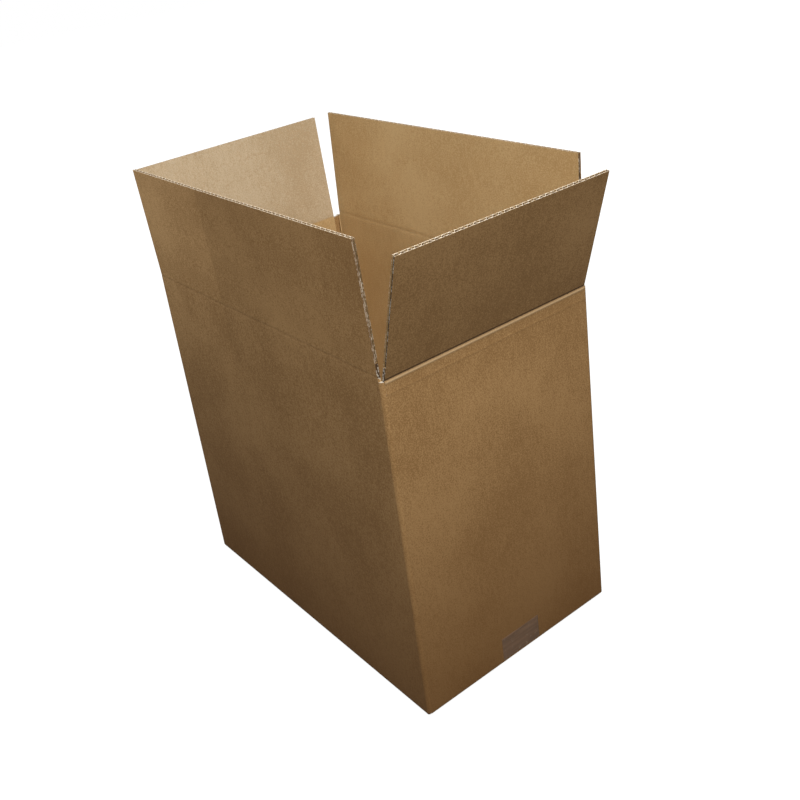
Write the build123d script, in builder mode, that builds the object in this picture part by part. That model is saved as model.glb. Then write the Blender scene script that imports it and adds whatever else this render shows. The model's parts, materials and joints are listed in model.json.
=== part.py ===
"""Open corrugated shipping carton: a regular slotted box, taped shut underneath, its four top flaps up.

Millimetres. +Z is up. The origin is the centre of the underside. The long panels face -Y (front) and +Y (back),
the short ones face +X (right) and -X (left). The walls and the bottom flaps are one folded and glued sheet.
"""

import os
from math import cos, radians, sin, sqrt, tan

from build123d import *

# Outside of the walls
box_length = 382.0
box_width = 236.0
wall_height = 346.0  # underside to the crease axis of the short panels' top flaps

# Corrugated board
board = 3.0
liner = 0.3
medium = 0.25
flute_pitch = 6.4
flute_flank_angle = 50.0

# Folds
corner_inner_radius = 1.0
crease_inner_radius = 0.6
fold_gap = 0.3  # between two layers of board that lie on each other

# Flaps: the long panels' flaps nearly meet in the middle
flap_meeting_gap = 3.0
slot_inset = 3.3  # from a wall's outer face to the slot cut at the corner
flap_side_clearance = 0.5  # a top flap is this much narrower than its crease, at each side
slot_overcut = 1.0  # how far a slot runs below the short panels' crease
crush_length = 5.0  # flutes pressed flat beside a crease
hinge_offset = 0.15  # from a wall's outer face out to the crease axis

# How far each top flap leans outwards from upright
front_lean = 2.4
right_lean = 17.4
back_lean = 2.4
left_lean = 3.8
worn_corner_radius = 6.0  # the right flap's corner nearest the front

# Glued joint at the back left corner: the lap is outside the left wall
lap_width = 35.0
lap_end_trim = 0.7
lap_end_taper = 5.0
joint_gap = 7.5  # the left wall stops this far short of the back wall

# Packing tape along the bottom seam and up both short walls
tape_width = 48.0
tape_thickness = 0.1
tape_tab = 31.0

# Worked out from the above
corner_outer_radius = corner_inner_radius + board
crease_outer_radius = crease_inner_radius + board
flap_length = (box_width - flap_meeting_gap) / 2
half_length = box_length / 2
half_width = box_width / 2
minor_floor = board + fold_gap  # underside of the bottom flaps of the short panels
long_crease = wall_height + board + fold_gap  # crease axis of the long panels' top flaps
crease_cut = hinge_offset * (1 + sqrt(2))  # from a crease axis down to the mitred top of its wall
post_top = wall_height - slot_overcut
left_wall_end = half_width - board - joint_gap

os.makedirs("parts", exist_ok=True)


def finish(piece, label):
    """Labels a piece and writes it."""
    piece.part.label = label
    export_step(piece.part, f"parts/{label}.step")


# One cell of air between the fluted medium and a liner, seen along the flutes. The medium's flanks are straight.
flank = radians(flute_flank_angle)
cell_top = board / 2 - liner
cell_half_width = flute_pitch / 4 - medium / 2 / sin(flank) + cell_top / tan(flank)
cell_apex = cell_half_width * tan(flank) - cell_top
cell_tip_radius = (cell_apex - cell_top + medium) / (1 / cos(flank) - 1)

with BuildSketch() as flute_cell:
    with BuildLine():
        Polyline((-cell_half_width, cell_top), (cell_half_width, cell_top), (0, -cell_apex), close=True)
    make_face()
    fillet(flute_cell.vertices().sort_by(Axis.Y)[0], cell_tip_radius)


def top_flap(crease_middle, along, lean, start, end, worn=False):
    """A top flap at rest. `along` is the crease's direction, with the inside of the box on its left.

    start and end are the flap's side edges, measured along the crease from its middle.
    """
    up_the_flap = Vector(0, 0, 1).rotate(Axis((0, 0, 0), along), lean)
    frame = Plane(crease_middle, x_dir=along, z_dir=up_the_flap)
    inner_face = Plane(
        frame.from_local_coords((0, hinge_offset + board, 0)), x_dir=frame.x_dir, z_dir=-frame.y_dir
    )
    side = Plane(frame.from_local_coords((start, 0, 0)), x_dir=frame.y_dir, z_dir=frame.x_dir)
    free_edge = Plane(
        frame.from_local_coords((0, hinge_offset + board / 2, flap_length)), x_dir=frame.x_dir, z_dir=frame.z_dir
    )
    pitches = int((end - start) / flute_pitch / 2) + 1
    with BuildPart() as flap:
        with BuildSketch(inner_face) as outline:
            with Locations(((start + end) / 2, flap_length / 2)):
                Rectangle(end - start, flap_length)
            if worn:
                corner = outline.vertices().group_by(Axis.Z)[-1].sort_by(Axis.Y)[0]
                fillet(corner, worn_corner_radius)
        extrude(amount=board)
        # The crease side is mitred, so that the flap can fold inwards onto the mitred top of its wall.
        with BuildSketch(side):
            with BuildLine():
                Polyline(
                    (hinge_offset, 0),
                    (hinge_offset, crease_cut),
                    (hinge_offset + board, crease_cut + board),
                    (hinge_offset + board, 0),
                    close=True,
                )
            make_face()
        extrude(amount=end - start, mode=Mode.SUBTRACT)
        # Flutes, open at the free edge and pressed flat beside the crease.
        with BuildSketch(free_edge):
            with Locations(*[(flute_pitch * i, 0) for i in range(-pitches, pitches + 1)]):
                add(flute_cell.sketch)
            with Locations(*[(flute_pitch * (i + 0.5), 0) for i in range(-pitches - 1, pitches + 1)]):
                add(flute_cell.sketch, rotation=180)
        extrude(amount=-(flap_length - board - crush_length), mode=Mode.SUBTRACT)
    return flap


def panel_profile(crease_height, underside):
    """Outline of a wall with its bottom flap: x is inwards from the wall's outer face, y is up."""
    top = crease_height - crease_cut
    points = [
        (0, top),
        (0, underside),
        (flap_length, underside),
        (flap_length, underside + board),
        (board, underside + board),
        (board, top - board),
    ]
    FilletPolyline(*points, radius=[0, crease_outer_radius, 0, 0, crease_inner_radius, 0], close=True)


# Packing tape, let into the board by its own thickness
tape_bend = crease_outer_radius + minor_floor / 2
seam_end = half_length - slot_inset
with BuildPart() as seam_tape:
    with BuildSketch(Plane.XZ) as tape_profile:
        with BuildLine():
            Polyline(
                (-half_length, 2 * tape_tab),
                (-half_length, tape_bend),
                (-seam_end, 0),
                (seam_end, 0),
                (half_length, tape_bend),
                (half_length, 2 * tape_tab),
                close=True,
            )
        make_face()
        offset(amount=-tape_thickness, kind=Kind.INTERSECTION, mode=Mode.SUBTRACT)
        with Locations((0, 2 * tape_tab)):
            Rectangle(2 * box_length, 2 * tape_tab, mode=Mode.SUBTRACT)
    extrude(amount=tape_width / 2, both=True)
finish(seam_tape, "seam_tape")

# Walls, lap and bottom flaps
with BuildPart() as carton_body:
    # Corners and the wall between the slot ends, with the lap outside the left wall
    with BuildSketch(Plane.XY.offset(minor_floor)) as walls:
        RectangleRounded(box_length, box_width, corner_outer_radius)
        with Locations((-half_length - board, half_width)):
            Rectangle(board + corner_outer_radius, lap_width, align=(Align.MIN, Align.MAX))
        outer_corner = walls.vertices().sort_by(Axis.X)[:2].sort_by(Axis.Y)[-1]
        fillet(outer_corner, corner_outer_radius)
        RectangleRounded(
            box_length - 2 * board, box_width - 2 * board, corner_inner_radius, mode=Mode.SUBTRACT
        )
        with Locations((-half_length, left_wall_end)):
            Rectangle(board, joint_gap, align=(Align.MIN, Align.MIN), mode=Mode.SUBTRACT)
    extrude(amount=post_top - minor_floor)
    # Between the corner posts, the short walls' tops are mitred so that their flaps fold in flat
    slot_line = half_width - slot_inset
    mitre_top = wall_height - crease_cut
    inside_end = board + fold_gap
    for outward in (1, -1):
        with BuildSketch(Plane.XZ.offset(-slot_line)):
            with BuildLine():
                Polyline(
                    (outward * half_length, mitre_top),
                    (outward * (half_length - inside_end), mitre_top - inside_end),
                    (outward * (half_length - inside_end), mitre_top),
                    close=True,
                )
            make_face()
        extrude(amount=2 * slot_line, mode=Mode.SUBTRACT)
    # The lap's two ends are trimmed back and tapered
    for end_height, inwards in ((minor_floor, 1), (post_top, -1)):
        with BuildSketch(Plane.YZ.offset(-half_length - board)):
            with BuildLine():
                Polyline(
                    (half_width - lap_width, end_height),
                    (half_width - board, end_height),
                    (half_width - board, end_height + inwards * lap_end_trim),
                    (half_width - lap_width, end_height + inwards * (lap_end_trim + lap_end_taper)),
                    close=True,
                )
            make_face()
        extrude(amount=board, mode=Mode.SUBTRACT)
    # Long panels: wall, bottom fold and outer bottom flap
    for outward in (-1, 1):
        long_side = Plane(
            (outward * seam_end, outward * half_width, 0), x_dir=(0, -outward, 0), z_dir=(-outward, 0, 0)
        )
        with BuildSketch(long_side):
            with BuildLine():
                panel_profile(long_crease, 0)
            make_face()
        extrude(amount=2 * seam_end)
    # Short panels: wall, bottom fold and inner bottom flap
    front_end = slot_inset - half_width
    for outward, start, end in ((1, front_end, -front_end), (-1, left_wall_end, front_end)):
        short_side = Plane(
            (outward * half_length, start, 0), x_dir=(-outward, 0, 0), z_dir=(0, outward, 0)
        )
        with BuildSketch(short_side):
            with BuildLine():
                panel_profile(wall_height, minor_floor)
            make_face()
        extrude(amount=abs(end - start))
    add(seam_tape.part, mode=Mode.SUBTRACT)
finish(carton_body, "carton_body")

# Top flaps
side_inset = slot_inset + flap_side_clearance
long_half = half_length - side_inset
short_half = half_width - side_inset
crease_out = hinge_offset
top_flap_front = top_flap(
    (0, -half_width - crease_out, long_crease), (1, 0, 0), front_lean, -long_half, long_half
)
top_flap_right = top_flap(
    (half_length + crease_out, 0, wall_height), (0, 1, 0), right_lean, -short_half, short_half, worn=True
)
top_flap_back = top_flap(
    (0, half_width + crease_out, long_crease), (-1, 0, 0), back_lean, -long_half, long_half
)
top_flap_left = top_flap(
    (-half_length - crease_out, 0, wall_height),
    (0, -1, 0),
    left_lean,
    flap_side_clearance - left_wall_end,
    short_half,
)
finish(top_flap_front, "top_flap_front")
finish(top_flap_right, "top_flap_right")
finish(top_flap_back, "top_flap_back")
finish(top_flap_left, "top_flap_left")
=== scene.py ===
"""Looks of the open shipping carton: kraft corrugated board, its creases and its packing tape."""

import json
from math import cos, exp, pi, radians, sin

import bpy
from mathutils import Matrix, Vector, noise


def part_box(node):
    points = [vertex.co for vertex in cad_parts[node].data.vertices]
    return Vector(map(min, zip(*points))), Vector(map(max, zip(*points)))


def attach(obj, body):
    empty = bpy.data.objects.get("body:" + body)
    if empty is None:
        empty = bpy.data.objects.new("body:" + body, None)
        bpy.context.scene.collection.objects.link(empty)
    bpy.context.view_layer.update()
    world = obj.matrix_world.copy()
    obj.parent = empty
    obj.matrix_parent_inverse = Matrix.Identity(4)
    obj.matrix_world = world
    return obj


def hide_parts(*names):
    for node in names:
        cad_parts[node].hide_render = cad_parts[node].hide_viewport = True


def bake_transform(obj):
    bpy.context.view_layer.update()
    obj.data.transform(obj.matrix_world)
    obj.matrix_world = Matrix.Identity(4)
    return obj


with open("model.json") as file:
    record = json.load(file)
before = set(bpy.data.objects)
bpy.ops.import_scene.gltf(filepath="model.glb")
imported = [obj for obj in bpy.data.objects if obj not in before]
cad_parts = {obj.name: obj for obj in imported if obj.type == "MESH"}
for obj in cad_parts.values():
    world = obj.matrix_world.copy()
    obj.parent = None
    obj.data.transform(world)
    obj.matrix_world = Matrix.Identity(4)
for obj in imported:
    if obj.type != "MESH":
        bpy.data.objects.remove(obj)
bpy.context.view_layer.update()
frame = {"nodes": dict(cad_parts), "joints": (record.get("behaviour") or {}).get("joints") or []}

# Sizes that the frame gives, in metres
body_low, body_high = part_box("carton_body")
HALF_LENGTH = body_high.x
HALF_WIDTH = body_high.y
BOARD = -body_low.x - body_high.x  # the glue lap stands one board outside the left wall
JOINTS = {joint["child"]: joint for joint in frame["joints"]}
HINGE_OFFSET = abs(JOINTS["top_flap_right"]["pos_m"][0]) - HALF_LENGTH
MINOR_CREASE = JOINTS["top_flap_right"]["pos_m"][2]
MM = 0.001

# Board
FLUTE_PITCH = 6.4 * MM
LINER = 0.33 * MM  # liner and glue, at a cut edge

# Paper, inside and outside, and its cut edges and creases
KRAFT_DARK = (0.240, 0.130, 0.046)
KRAFT_LIGHT = (0.390, 0.232, 0.096)
INSIDE_DARK = (0.405, 0.256, 0.108)
INSIDE_LIGHT = (0.525, 0.364, 0.178)
CUT_EDGE = (0.80, 0.72, 0.60)
FLUTE_PAPER = (0.240, 0.160, 0.090)
# Painted shade for crease lines, flute hollows at torn edges and the right flap's foot, and a
# painted highlight on rolled crease edges
CREASE_SHADE = (0.060, 0.032, 0.014)
CREASE_SHINE = (0.62, 0.45, 0.26)
# Painted shade towards the walls' foot
LOW_WALL_SHADE = (0.135, 0.058, 0.013)
BOTTOM_DARK = (0.12, 0.065, 0.03)
LOW_SHADE_RANGE = (-0.10, 0.34)
BOTTOM_DARK_HEIGHT = 9 * MM
FOLD_LINE = 1.1 * MM
# Painted light and shade: the outer liner of each listed flap made darker or lighter for how the
# light falls on it
PAINTED_LIGHT_AND_SHADE = {"top_flap_right": 0.81, "top_flap_front": 1.08}
# Painted light: the left flap's inner liner made paler and bluer for how the light falls on it
INSIDE_PAINTED_LIGHT = {"top_flap_left": (0.99, 1.15, 1.60)}

# Texture of the paper: scale of its clouding, mottle and streaks, share of each, and relief
EVEN = (1, 1, 1)
CLOUD_SCALE, MOTTLE_SCALE, STREAK_SCALE = 9.0, 800.0, 300.0
CLOUD_SHARE, MOTTLE_SHARE, STREAK_SHARE = 0.30, 0.62, 0.10
TONE_RANGE = (0.41, 0.61)
MOTTLE_RELIEF, STREAK_RELIEF, RIDGE_RELIEF = 0.035, 0.012, 0.016
RELIEF_DEPTH = 1.2 * MM
PAPER_FINISH = {"Roughness": 0.78, "Specular_IOR_Level": 0.25}

# Torn board with painted shade in its open flutes, and how squarely a face must look along a
# direction to count as cut across it
TEAR_SCALE = 420.0
TEAR_RANGE = (0.46, 0.60)
CUT_FACING = (0.90, 0.98)

# The front panel's bend: where it is, how it fades, how much lighter its painted light makes it and
# how far its normal is turned
BEND_LINE = -57 * MM
BEND_EDGE = 1.5 * MM
BEND_FADE = 0.10
BEND_RISE = (0.22, 0.44)
BEND_PAINTED_LIGHT = (1.30, 1.38, 1.55)
BEND_TURN = 0.30

# Camera
AZIMUTH, ELEVATION, ROLL = 55.7, 23.6, -8.3
LOOK_AT = Vector((0.0, 0.0156, 0.2975))
DISTANCE = 1.0218
LENS = 45.8
SHIFT = (0.031, -0.100)


# ---------------------------------------------------------------- node helpers
class Nodes:
    """A material's node tree, with short calls for the nodes used here."""

    def __init__(self, name):
        self.material = bpy.data.materials.new(name)
        self.material.use_nodes = True
        self.tree = self.material.node_tree
        self.tree.nodes.clear()
        self.coordinates = self.tree.nodes.new("ShaderNodeTexCoord")

    def node(self, kind, inputs=(), **settings):
        made = self.tree.nodes.new(kind)
        for key, value in settings.items():
            setattr(made, key, value)
        for key, value in dict(inputs).items():
            self.plug(made.inputs[key], value)
        return made

    def plug(self, socket, value):
        if isinstance(value, bpy.types.NodeSocket):
            self.tree.links.new(value, socket)
        elif socket.type == "RGBA":
            socket.default_value = (*value, 1.0)
        else:
            socket.default_value = value

    def math(self, operation, a, b=0.0):
        made = self.node("ShaderNodeMath", operation=operation)
        self.plug(made.inputs[0], a)
        self.plug(made.inputs[1], b)
        return made.outputs[0]

    def mix(self, factor, a, b, blend="MIX"):
        made = self.node("ShaderNodeMix", data_type="RGBA", blend_type=blend)
        self.plug(made.inputs["Factor"], factor)
        self.plug(made.inputs[6], a)
        self.plug(made.inputs[7], b)
        return made.outputs[2]

    def stretch(self, scale):
        """Object coordinates, scaled along each axis."""
        inputs = {"Vector": self.coordinates.outputs["Object"], "Scale": scale}
        return self.node("ShaderNodeMapping", inputs).outputs[0]

    def noise(self, vector, scale, detail=4.0, roughness=0.55):
        inputs = {"Vector": vector, "Scale": scale, "Detail": detail, "Roughness": roughness}
        return self.node("ShaderNodeTexNoise", inputs).outputs["Fac"]

    def between(self, value, low, high):
        """0 below low, 1 above high, smooth between."""
        made = self.node("ShaderNodeMapRange", interpolation_type="SMOOTHSTEP")
        for key, number in (("Value", value), ("From Min", low), ("From Max", high)):
            self.plug(made.inputs[key], number)
        return made.outputs[0]

    def axes(self, output):
        """X, Y and Z of an output of the texture coordinates."""
        made = self.node("ShaderNodeSeparateXYZ", {"Vector": self.coordinates.outputs[output]})
        return made.outputs

    def finish(self, **inputs):
        surface = self.node("ShaderNodeBsdfPrincipled")
        for key, value in inputs.items():
            self.plug(surface.inputs[key.replace("_", " ")], value)
        output = self.node("ShaderNodeOutputMaterial")
        self.tree.links.new(surface.outputs[0], output.inputs["Surface"])
        return self.material


# ---------------------------------------------------------------- materials
def paper_colour(m, dark, light):
    """Kraft liner: broad clouding, fine mottle, and faint upright streaks."""
    clouds = m.noise(m.stretch(EVEN), CLOUD_SCALE, 3.0)
    mottle = m.noise(m.stretch(EVEN), MOTTLE_SCALE, 3.0, 0.7)
    streaks = m.noise(m.stretch((1, 1, 0.3)), STREAK_SCALE, 2.0, 0.5)
    tone = m.math("MULTIPLY", clouds, CLOUD_SHARE)
    tone = m.math("ADD", tone, m.math("MULTIPLY", mottle, MOTTLE_SHARE))
    tone = m.math("ADD", tone, m.math("MULTIPLY", streaks, STREAK_SHARE))
    return m.mix(m.between(tone, *TONE_RANGE), dark, light), mottle, streaks


def torn_edge_with_flute_shade(m, paleness):
    """Cut board, torn: dark specks of painted shade from its open flutes, in pale paper."""
    pale_share = m.between(m.noise(m.stretch(EVEN), TEAR_SCALE, 2.0), *TEAR_RANGE)
    return m.mix(pale_share, CREASE_SHADE, scaled(CUT_EDGE, paleness))


def bend_amount(m, place, front):
    """How far each point of the front panel is bent: left of one flute, and most at the top."""
    across = place["X"]
    left = m.math("SUBTRACT", 1.0, m.between(across, BEND_LINE - BEND_EDGE, BEND_LINE + BEND_EDGE))
    fade = m.math("SUBTRACT", 1.0, m.between(across, -HALF_LENGTH, BEND_LINE + BEND_FADE))
    side = m.math("ADD", m.math("MULTIPLY", left, 0.30), m.math("MULTIPLY", fade, 0.45))
    upper = m.math("ADD", 0.05, m.math("MULTIPLY", m.between(place["Z"], *BEND_RISE), 1.05))
    return m.math("MULTIPLY", m.math("MULTIPLY", side, front), upper)


# Painted light: the bent part of the front panel is made lighter in colour
def painted_bend_light(m, colour, bend):
    return m.mix(bend, colour, BEND_PAINTED_LIGHT, "MULTIPLY")


def bent_normal(m, bend):
    """The surface's normal, turned along the box where the front panel is bent."""
    geometry = m.node("ShaderNodeNewGeometry")
    turn = m.node("ShaderNodeCombineXYZ", {"X": m.math("MULTIPLY", bend, BEND_TURN)})
    parts = {0: geometry.outputs["Normal"], 1: turn.outputs[0]}
    total = m.node("ShaderNodeVectorMath", parts, operation="ADD")
    return m.node("ShaderNodeVectorMath", {0: total.outputs[0]}, operation="NORMALIZE").outputs[0]


def washboard(m, coordinate):
    """The faint ridges that the flutes leave in a liner."""
    phase = m.math("MULTIPLY", coordinate, 2 * pi / FLUTE_PITCH)
    return m.math("SINE", phase)


def paper_bump(m, mottle, streaks, ridges, turned=None):
    height = m.math("MULTIPLY", mottle, MOTTLE_RELIEF)
    height = m.math("ADD", height, m.math("MULTIPLY", streaks, STREAK_RELIEF))
    height = m.math("ADD", height, m.math("MULTIPLY", ridges, RIDGE_RELIEF))
    inputs = {"Height": height, "Strength": 1.0, "Distance": RELIEF_DEPTH}
    if turned is not None:
        inputs["Normal"] = turned
    return m.node("ShaderNodeBump", inputs).outputs[0]


def body_material():
    m = Nodes("kraft_walls")
    place = m.axes("Object")
    facing = m.axes("Normal")
    outside_x = m.math("GREATER_THAN", m.math("ABSOLUTE", place["X"]), HALF_LENGTH - BOARD / 2)
    outside_y = m.math("GREATER_THAN", m.math("ABSOLUTE", place["Y"]), HALF_WIDTH - BOARD / 2)
    underside = m.math("LESS_THAN", place["Z"], BOARD / 2)
    outside = m.math("MAXIMUM", m.math("MAXIMUM", outside_x, outside_y), underside)
    outer, mottle, streaks = paper_colour(m, KRAFT_DARK, KRAFT_LIGHT)
    inner, _, _ = paper_colour(m, INSIDE_DARK, INSIDE_LIGHT)
    colour = m.mix(outside, inner, outer)
    # Cut board at the slot ends
    slot_end = m.math("GREATER_THAN", facing["Z"], 0.9)
    near_crease = m.math("GREATER_THAN", place["Z"], MINOR_CREASE - 2 * BOARD)
    slot_end = m.math("MULTIPLY", slot_end, near_crease)
    colour = m.mix(slot_end, colour, scaled(CUT_EDGE, 0.6))
    # Painted light and a turned normal where the front panel is bent
    bend = bend_amount(m, place, m.math("LESS_THAN", place["Y"], BOARD / 2 - HALF_WIDTH))
    colour = painted_bend_light(m, colour, bend)
    # Painted shade: the walls' outsides are darker and deeper in colour towards the foot, and darker
    # again at the very bottom
    lower = m.math("SUBTRACT", 1.0, m.between(place["Z"], *LOW_SHADE_RANGE))
    lower = m.math("MULTIPLY", m.math("MULTIPLY", lower, outside), 0.86)
    colour = m.mix(lower, colour, LOW_WALL_SHADE)
    foot = m.math("SUBTRACT", 1.0, m.between(place["Z"], 0.0, BOTTOM_DARK_HEIGHT))
    foot = m.math("MULTIPLY", foot, 0.30)
    colour = m.mix(m.math("MULTIPLY", foot, outside), colour, BOTTOM_DARK)
    # The flutes run upright, so their ridges are counted along each wall
    across = m.node("ShaderNodeMix", data_type="FLOAT")
    m.plug(across.inputs["Factor"], m.math("GREATER_THAN", m.math("ABSOLUTE", facing["X"]), 0.7))
    m.plug(across.inputs[2], place["X"])
    m.plug(across.inputs[3], place["Y"])
    ridge_strength = m.math("ADD", 0.3, m.math("MULTIPLY", outside, 0.7))
    ridges = m.math("MULTIPLY", washboard(m, across.outputs[0]), ridge_strength)
    bump = paper_bump(m, mottle, streaks, ridges, bent_normal(m, bend))
    return m.finish(Base_Color=colour, Normal=bump, **PAPER_FINISH)


def liner_colours(m, inside, shade=1.0, inside_light_tint=(1.0, 1.0, 1.0)):
    """Outer and inner liner, mixed by the factor inside."""
    outer, mottle, streaks = paper_colour(m, scaled(KRAFT_DARK, shade), scaled(KRAFT_LIGHT, shade))
    # The inner liner takes the painted light tint
    inner, _, _ = paper_colour(m, times(INSIDE_DARK, inside_light_tint), times(INSIDE_LIGHT, inside_light_tint))
    return m.mix(inside, outer, inner), mottle, streaks


def scaled(colour, factor):
    return tuple(channel * factor for channel in colour)


def times(colour, light_tint):
    return tuple(a * b for a, b in zip(colour, light_tint))


def flap_material(child):
    """Liner faces of one top flap, pale cut edges, and brown flutes between the liners."""
    joint = JOINTS[child]
    along, _, up, face, _ = crease_frame(joint)
    pivot = Vector(joint["pos_m"])
    m = Nodes(f"kraft_{child}")
    place = m.axes("Object")
    normal = m.coordinates.outputs["Normal"]

    def component(vector, direction):
        made = m.node("ShaderNodeVectorMath", {0: vector, 1: direction}, operation="DOT_PRODUCT")
        return made.outputs["Value"]

    point = m.coordinates.outputs["Object"]
    depth = m.math("SUBTRACT", pivot.dot(face) - HINGE_OFFSET, component(point, face))
    inside = m.math("GREATER_THAN", depth, BOARD / 2)
    # This flap's painted light and shade: outer liner darker or lighter, inner liner paler and bluer
    # where listed
    shade, light_tint = PAINTED_LIGHT_AND_SHADE.get(child, 1.0), INSIDE_PAINTED_LIGHT.get(child, EVEN)
    colour, mottle, streaks = liner_colours(m, inside, shade, light_tint)
    turned = None
    outside = m.math("SUBTRACT", 1.0, inside)
    # Painted light and a turned normal where the front panel is bent
    if child == "top_flap_front":
        bend = bend_amount(m, place, outside)
        colour, turned = painted_bend_light(m, colour, bend), bent_normal(m, bend)
    if child == "top_flap_right":
        # Painted shade in the fold, at the flap's foot
        rise = m.math("SUBTRACT", component(point, up), pivot.dot(up))
        foot = m.math("SUBTRACT", 1.0, m.between(rise, FOLD_LINE, 2 * FOLD_LINE))
        foot = m.math("MULTIPLY", m.math("MULTIPLY", foot, outside), 0.85)
        colour = m.mix(foot, colour, CREASE_SHADE)
    coordinate = place["X"] if abs(along.x) > 0.5 else place["Y"]
    ridges = washboard(m, coordinate)
    # Between the liners
    past_outer = m.math("GREATER_THAN", depth, LINER)
    before_inner = m.math("LESS_THAN", depth, BOARD - LINER)
    within = m.math("MULTIPLY", past_outer, before_inner)
    colour = m.mix(within, colour, FLUTE_PAPER)
    # Cut ends: clean and pale along the free edge, torn along the sides, with dark specks of painted
    # shade in the open flutes
    ragged = m.between(m.noise(m.stretch(EVEN), 900.0, 3.0), 0.3, 0.6)
    top_cut = m.between(m.math("ABSOLUTE", component(normal, up)), *CUT_FACING)
    colour = m.mix(top_cut, colour, m.mix(ragged, INSIDE_LIGHT, CUT_EDGE))
    side_cut = m.between(m.math("ABSOLUTE", component(normal, along)), *CUT_FACING)
    colour = m.mix(side_cut, colour, torn_edge_with_flute_shade(m, 0.8))
    bump = paper_bump(m, mottle, streaks, ridges, turned)
    return m.finish(Base_Color=colour, Normal=bump, **PAPER_FINISH)


def crease_material(child):
    """Liners of a crease strip, whose sides, painted highlight on the rolled edge and painted shade
    line are painted as attributes.
    """
    joint = JOINTS[child]
    along = Vector(joint["axis"])
    m = Nodes(f"crease_{child}")
    place = m.axes("Object")

    def painted(name):
        return m.node("ShaderNodeAttribute", attribute_name=name).outputs["Fac"]

    # This flap's painted light and shade: outer liner darker or lighter, inner liner paler and bluer
    # where listed
    shade, light_tint = PAINTED_LIGHT_AND_SHADE.get(child, 1.0), INSIDE_PAINTED_LIGHT.get(child, EVEN)
    flap_colour, mottle, streaks = liner_colours(m, painted("inside"), shade, light_tint)
    wall_colour, _, _ = liner_colours(m, painted("inside"))
    colour = m.mix(painted("on_flap"), wall_colour, flap_colour)
    turned = None
    # Painted light and a turned normal where the front panel is bent
    if child == "top_flap_front":
        bend = bend_amount(m, place, m.math("SUBTRACT", 1.0, painted("inside")))
        colour, turned = painted_bend_light(m, colour, bend), bent_normal(m, bend)
    colour = m.mix(painted("shade"), colour, CREASE_SHADE)
    colour = m.mix(painted("shine"), colour, CREASE_SHINE)
    # The strip's cut ends: torn board with painted shade in its open flutes
    colour = m.mix(painted("cut"), colour, torn_edge_with_flute_shade(m, 0.7))
    coordinate = place["X"] if abs(along.x) > 0.5 else place["Y"]
    bump = paper_bump(m, mottle, streaks, washboard(m, coordinate), turned)
    return m.finish(Base_Color=colour, Normal=bump, **PAPER_FINISH)


def tape_material():
    m = Nodes("packing_tape")
    streaks = m.noise(m.stretch((60, 6, 60)), 4.0, 4.0)
    bubbles = m.noise(m.stretch(EVEN), 220.0, 3.0)
    colour = m.mix(m.between(streaks, 0.35, 0.7), (0.130, 0.070, 0.034), (0.190, 0.106, 0.056))
    colour = m.mix(m.between(bubbles, 0.6, 0.75), colour, (0.24, 0.165, 0.105))
    inputs = {"Height": m.math("ADD", streaks, bubbles), "Strength": 0.5, "Distance": 0.15 * MM}
    bump = m.node("ShaderNodeBump", inputs).outputs[0]
    return m.finish(
        Base_Color=colour,
        Roughness=0.28,
        Specular_IOR_Level=0.5,
        Coat_Weight=0.4,
        Coat_Roughness=0.15,
        Normal=bump,
    )


# ---------------------------------------------------------------- geometry
def crease_frame(joint):
    """Directions at a crease and the resting flap's lean.

    The directions are along the crease, out of the box, up the flap and out of the flap.
    """
    along = Vector(joint["axis"])
    outward = along.cross(Vector((0, 0, 1)))
    lean = radians(-joint["range_deg"][0] - 90)
    up = Vector((0, 0, cos(lean))) + outward * sin(lean)
    face = outward * cos(lean) - Vector((0, 0, sin(lean)))
    return along, outward, up, face, lean


def new_piece(name, points, faces, material):
    mesh = bpy.data.meshes.new(name)
    mesh.from_pydata([tuple(p) for p in points], [], faces)
    mesh.validate()
    mesh.update()
    mesh.shade_smooth()
    piece = bpy.data.objects.new(name, mesh)
    bpy.context.scene.collection.objects.link(piece)
    mesh.materials.append(material)
    return piece


def hump(value, centre, width):
    return exp(-(((value - centre) / width) ** 2))


def smooth(value):
    value = min(1.0, max(0.0, value))
    return value * value * (3 - 2 * value)


# Crease strips: how far they reach down the wall and up the flap, and where they bend
WALL_REACH = 16 * MM
FLAP_REACH = 12 * MM
BEND_REACH = 4 * MM
# Rows are closer together from FOLD_FROM to FOLD_TO
FOLD_FROM, FOLD_TO, FINE_STEP = -4 * MM, 3 * MM, 0.25 * MM
# The strips stand this far out of the board, and sink back into it over RISE at each end
PROUD = 0.03 * MM
RISE = 4 * MM
# Shape across the crease: places are from the hinge axis, up the flap
ROLL_PLACE, ROLL_WIDTH, VALLEY_WIDTH, SCORE_WIDTH = -1.9 * MM, 1.4 * MM, 0.3 * MM, 0.9 * MM
GROOVE_DEPTH, GROOVE_WIDTH = 0.22 * MM, 2.2 * MM
LINE_PLACE, LINE_WIDTH = 0.5 * MM, 1.1 * MM
COLUMN = 4 * MM


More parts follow.
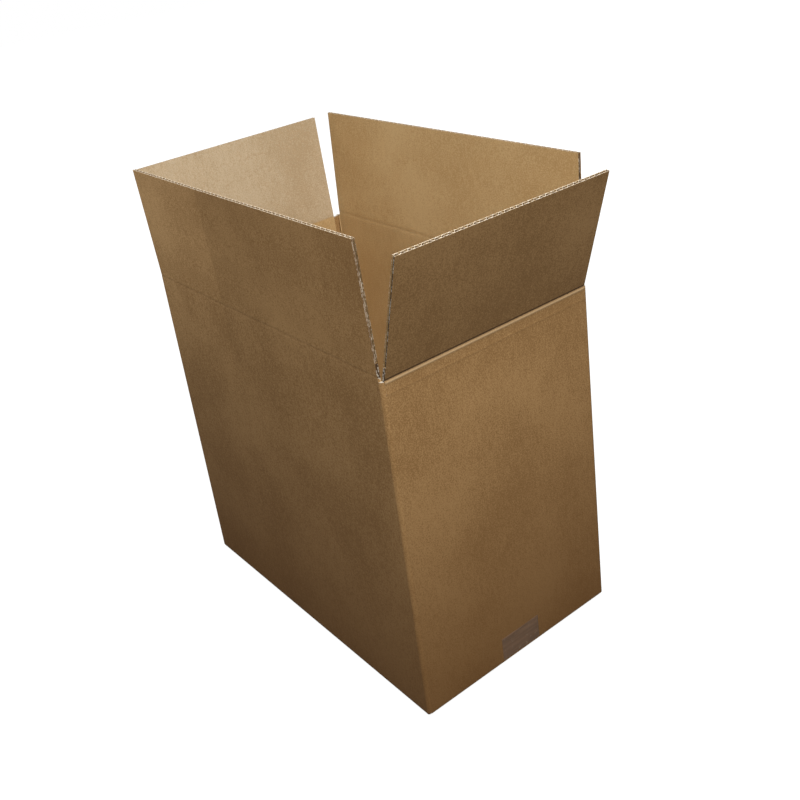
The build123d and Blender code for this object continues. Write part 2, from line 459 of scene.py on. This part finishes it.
def crease_piece(child, bead, valley, shade, shine, scores):
    """The creased strip that joins a wall and its top flap, both liners, as one closed bar.

    bead is how far the wall's top edge rolls outwards, valley how deep the crease line is, shade
    how dark the painted shade along the crease line is, shine how bright the painted highlight on
    the rolled edge is, and scores lists the place and depth of fainter press marks beside it.
    """
    joint = JOINTS[child]
    along, outward, up, _, lean = crease_frame(joint)
    pivot = Vector(joint["pos_m"])
    low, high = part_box(child)
    middle = (low + high) / 2
    half = abs((high - low).dot(along)) / 2 + 2 * PROUD
    centre = (middle - pivot).dot(along)
    fine = [FOLD_FROM + FINE_STEP * i for i in range(round((FOLD_TO - FOLD_FROM) / FINE_STEP))]
    below = [-WALL_REACH + MM * i for i in range(round((FOLD_FROM + WALL_REACH) / MM))]
    above = [FOLD_TO + MM * i for i in range(round((FLAP_REACH - FOLD_TO) / MM) + 1)]
    heights = below + fine + above

    def proud(s):
        """The strip rises out of the board at one end and sinks back into it at the other."""
        return PROUD * (2 * smooth((s + WALL_REACH) / RISE) * smooth((FLAP_REACH - s) / RISE) - 1)

    def outer(s, along_place):
        wander = noise.noise(Vector((along_place * 60, joint["pos_m"][0] * 10, 3.1)))
        shape = bead * (1 + 0.4 * wander) * hump(s, ROLL_PLACE, ROLL_WIDTH)
        shape -= valley * hump(s, 0.0, VALLEY_WIDTH)
        shape -= sum(depth * hump(s, place, SCORE_WIDTH) for place, depth in scores)
        return -HINGE_OFFSET + shape + proud(s)

    def inner(s, along_place):
        wander = noise.noise(Vector((along_place * 45, joint["pos_m"][1] * 10, 7.7)))
        groove = GROOVE_DEPTH * (1 + 0.3 * wander) * hump(s, 0.0, GROOVE_WIDTH)
        return -HINGE_OFFSET - BOARD + groove - proud(s)

    def place(u, s, out):
        angle = lean * smooth((s + BEND_REACH) / (2 * BEND_REACH))
        turn = Matrix.Rotation(angle, 3, along)
        return pivot + along * u + turn @ (Vector((0, 0, s)) + outward * out)

    columns = int(2 * half / COLUMN)
    rows = len(heights)
    points = []
    paint = {"inside": [], "on_flap": [], "shade": [], "shine": [], "cut": []}
    for i in range(columns + 1):
        u = centre - half + 2 * half * i / columns
        for side in (outer, inner):
            for s in heights:
                points.append(place(u, s, side(s, u)))
                paint["inside"].append(float(side is inner))
                paint["on_flap"].append(smooth((s + MM) / (2 * MM)))
                # Outside: painted shade along the crease line and a painted highlight on the rolled
                # edge; inside: a faint painted shade line
                if side is outer:
                    paint["shade"].append(shade * hump(s, LINE_PLACE, LINE_WIDTH))
                    paint["shine"].append(shine * hump(s, ROLL_PLACE, LINE_WIDTH))
                else:
                    paint["shade"].append(0.06 * hump(s, 0.0, 1.5 * MM))
                    paint["shine"].append(0.0)
                paint["cut"].append(0.0)
    ring = 2 * rows
    faces = []
    for i in range(columns):
        for j in range(rows - 1):
            a, b = i * ring + j, (i + 1) * ring + j
            faces.append((a, b, b + 1, a + 1))
            faces.append((a + rows, a + rows + 1, b + rows + 1, b + rows))
        for j, flip in ((0, True), (rows - 1, False)):
            a, b = i * ring + j, (i + 1) * ring + j
            quad = (a, b, b + rows, a + rows)
            faces.append(tuple(reversed(quad)) if flip else quad)
    # The two cut ends have points of their own, so that they can be painted apart
    for i, flip in ((0, True), (columns, False)):
        first = len(points)
        for j in range(ring):
            points.append(points[i * ring + j].copy())
            for name, values in paint.items():
                values.append(1.0 if name == "cut" else 0.0)
        for j in range(rows - 1):
            quad = (first + j, first + j + rows, first + j + rows + 1, first + j + 1)
            faces.append(tuple(reversed(quad)) if flip else quad)
    piece = new_piece(f"crease_{child}", points, faces, crease_material(child))
    for name, values in paint.items():
        piece.data.attributes.new(name, "FLOAT", "POINT").data.foreach_set("value", values)
    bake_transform(piece)


def tape_piece():
    """Packing tape under the seam and up both short walls, with its wrinkles and saw-cut ends."""
    low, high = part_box("seam_tape")
    thickness = 0.06 * MM
    tab = high.z
    half_tape = high.y
    bend = 5.2 * MM  # height at which it turns onto the wall
    seam_end = HALF_LENGTH - 3.3 * MM
    inside = 0.02 * MM  # it lies this far above the floor
    saw_depth = 0.9 * MM
    # Corners of the tape's outer face, as x and z
    route = [(HALF_LENGTH, tab), (HALF_LENGTH, bend), (seam_end, inside), (-seam_end, inside)]
    route += [(-HALF_LENGTH, bend), (-HALF_LENGTH, tab)]
    steps = []
    for (x0, z0), (x1, z1) in zip(route, route[1:]):
        length = ((x1 - x0) ** 2 + (z1 - z0) ** 2) ** 0.5
        count = max(2, round(length / (1.5 * MM))) if length < 0.1 else 60
        out = Vector((-(z1 - z0), 0, x1 - x0)).normalized()
        for i in range(count):
            steps.append((x0 + (x1 - x0) * i / count, z0 + (z1 - z0) * i / count, out))
    steps.append((*route[-1], Vector((-1, 0, 0))))
    across = 48
    outer, inner = [], []
    for x, z, out in steps:
        on_tab = abs(x) > HALF_LENGTH - 0.5 * MM
        for j in range(across + 1):
            y = -half_tape + 2 * half_tape * j / across
            height = z
            if z >= tab - 1e-6:
                height = tab - (saw_depth if j % 2 else 0.0)
            wrinkle = noise.noise(Vector((x * 40, y * 70, z * 160)))
            lift = (0.03 + 0.08 * max(0.0, wrinkle)) * MM if on_tab else 0.0
            point = Vector((x, y, height)) + out * lift
            outer.append(point)
            inner.append(point - out * thickness)
    width = across + 1
    rows = len(steps)
    faces = []
    for i in range(rows - 1):
        for j in range(across):
            a, b = i * width + j, i * width + j + 1
            faces.append((a, b, b + width, a + width))
            c, d = a + rows * width, b + rows * width
            faces.append((c, c + width, d + width, d))
    shift = rows * width
    for i in range(rows - 1):
        for j, flip in ((0, False), (across, True)):
            a, b = i * width + j, (i + 1) * width + j
            quad = (a, b, b + shift, a + shift)
            faces.append(tuple(reversed(quad)) if flip else quad)
    for i, flip in ((0, True), (rows - 1, False)):
        for j in range(across):
            a, b = i * width + j, i * width + j + 1
            quad = (a, b, b + shift, a + shift)
            faces.append(tuple(reversed(quad)) if flip else quad)
    faces = [tuple(reversed(face)) for face in faces]
    piece = new_piece("seam_tape_strip", outer + inner, faces, tape_material())
    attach(piece, "carton_body")
    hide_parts("seam_tape")


def dress(node, material):
    """Give a CAD piece its material."""
    target = frame["nodes"][node]
    target.data.materials.clear()
    target.data.materials.append(material)


# ---------------------------------------------------------------- stage
def pale_stage():
    """A pale floor: white to the camera, dull to other rays, so that it adds no light of its own."""
    mesh = bpy.data.meshes.new("floor")
    reach = 6.0
    corners = [(-reach, -reach, 0), (reach, -reach, 0), (reach, reach, 0), (-reach, reach, 0)]
    mesh.from_pydata(corners, [], [(0, 1, 2, 3)])
    floor = bpy.data.objects.new("floor", mesh)
    floor.location.z = -0.5 * MM
    bpy.context.scene.collection.objects.link(floor)
    m = Nodes("pale_floor")
    diffuse = m.node("ShaderNodeBsdfDiffuse", {"Color": (0.22, 0.22, 0.22)})
    bright = m.node("ShaderNodeBsdfDiffuse", {"Color": (0.9, 0.9, 0.9)})
    point = m.coordinates.outputs["Object"]
    distance = m.node("ShaderNodeVectorMath", {0: point}, operation="LENGTH")
    far = m.between(distance.outputs["Value"], 0.5, 2.0)
    strength = m.math("ADD", 1.2, m.math("MULTIPLY", far, 0.15))
    glow = m.node("ShaderNodeEmission", {"Color": (1.0, 1.0, 1.0), "Strength": strength})
    seen = m.node("ShaderNodeMixShader", {"Fac": 0.75})
    m.tree.links.new(bright.outputs[0], seen.inputs[1])
    m.tree.links.new(glow.outputs[0], seen.inputs[2])
    path = m.node("ShaderNodeLightPath")
    choice = m.node("ShaderNodeMixShader", {"Fac": path.outputs["Is Camera Ray"]})
    m.tree.links.new(diffuse.outputs[0], choice.inputs[1])
    m.tree.links.new(seen.outputs[0], choice.inputs[2])
    output = m.node("ShaderNodeOutputMaterial")
    m.tree.links.new(choice.outputs[0], output.inputs["Surface"])
    mesh.materials.append(m.material)


def world_light(strength):
    world = bpy.data.worlds.new("studio")
    bpy.context.scene.world = world
    world.use_nodes = True
    tree = world.node_tree
    tree.nodes.clear()
    path = tree.nodes.new("ShaderNodeLightPath")
    ambient = tree.nodes.new("ShaderNodeBackground")
    ambient.inputs["Color"].default_value = (1.0, 0.98, 0.95, 1.0)
    ambient.inputs["Strength"].default_value = strength
    white = tree.nodes.new("ShaderNodeBackground")
    white.inputs["Strength"].default_value = 1.0
    white.inputs["Color"].default_value = (1, 1, 1, 1)
    mix = tree.nodes.new("ShaderNodeMixShader")
    tree.links.new(path.outputs["Is Camera Ray"], mix.inputs[0])
    tree.links.new(ambient.outputs[0], mix.inputs[1])
    tree.links.new(white.outputs[0], mix.inputs[2])
    output = tree.nodes.new("ShaderNodeOutputWorld")
    tree.links.new(mix.outputs[0], output.inputs["Surface"])


def area_light(name, place, target, size, power, colour=(1.0, 1.0, 1.0)):
    light = bpy.data.lights.new(name, "AREA")
    light.shape = "DISK"
    light.size = size
    light.energy = power
    light.color = colour
    lamp = bpy.data.objects.new(name, light)
    lamp.location = place
    lamp.rotation_euler = (Vector(target) - Vector(place)).to_track_quat("-Z", "Y").to_euler()
    bpy.context.scene.collection.objects.link(lamp)


def photo_camera():
    """The camera, at the azimuth, elevation and roll named above."""
    azimuth, elevation, roll = radians(AZIMUTH), radians(ELEVATION), radians(ROLL)
    flat = cos(elevation)
    forward = Vector((-sin(azimuth) * flat, cos(azimuth) * flat, -sin(elevation)))
    level = forward.cross(Vector((0, 0, 1))).normalized()
    upright = level.cross(forward)
    right = level * cos(roll) + upright * sin(roll)
    up = upright * cos(roll) - level * sin(roll)
    data = bpy.data.cameras.new("camera")
    data.lens = LENS
    data.sensor_width = 36.0
    data.shift_x, data.shift_y = SHIFT
    data.clip_end = 50.0
    camera = bpy.data.objects.new("camera", data)
    turn = Matrix((right, up, -forward)).transposed().to_4x4()
    camera.matrix_world = Matrix.Translation(LOOK_AT - forward * DISTANCE) @ turn
    bpy.context.scene.collection.objects.link(camera)
    bpy.context.scene.camera = camera


photo_camera()
pale_stage()
world_light(strength=0.17)
middle = (0.0, 0.0, 0.40)
area_light("key", (1.00, -0.42, 1.55), middle, size=0.9, power=31.0, colour=(1.0, 0.98, 0.95))
area_light("top", (0.0, 0.0, 1.50), (0.0, 0.0, 0.35), size=0.8, power=6.0)
area_light("fill", (-0.75, -1.0, 0.95), (-0.15, -0.1, 0.42), size=0.6, power=2.2)
area_light("back", (-1.10, 1.40, 1.10), (0.0, 0.0, 0.30), size=1.2, power=14.0)

dress("carton_body", body_material())
for flap in ("top_flap_front", "top_flap_right", "top_flap_back", "top_flap_left"):
    dress(flap, flap_material(flap))
crease_piece(
    "top_flap_front",
    bead=0.03 * MM,
    valley=0.12 * MM,
    shade=0.12,
    shine=0.04,
    scores=[(6.0 * MM, 0.22 * MM), (-1.0 * MM, 0.12 * MM)],
)
crease_piece(
    "top_flap_right",
    bead=0.50 * MM,
    valley=0.80 * MM,
    shade=0.95,
    shine=0.60,
    scores=[(-12.5 * MM, -0.22 * MM)],
)
crease_piece("top_flap_back", bead=0.10 * MM, valley=0.20 * MM, shade=0.30, shine=0.05, scores=[])
crease_piece("top_flap_left", bead=0.20 * MM, valley=0.40 * MM, shade=0.50, shine=0.15, scores=[])
tape_piece()

scene = bpy.context.scene
scene.view_settings.view_transform = "Standard"
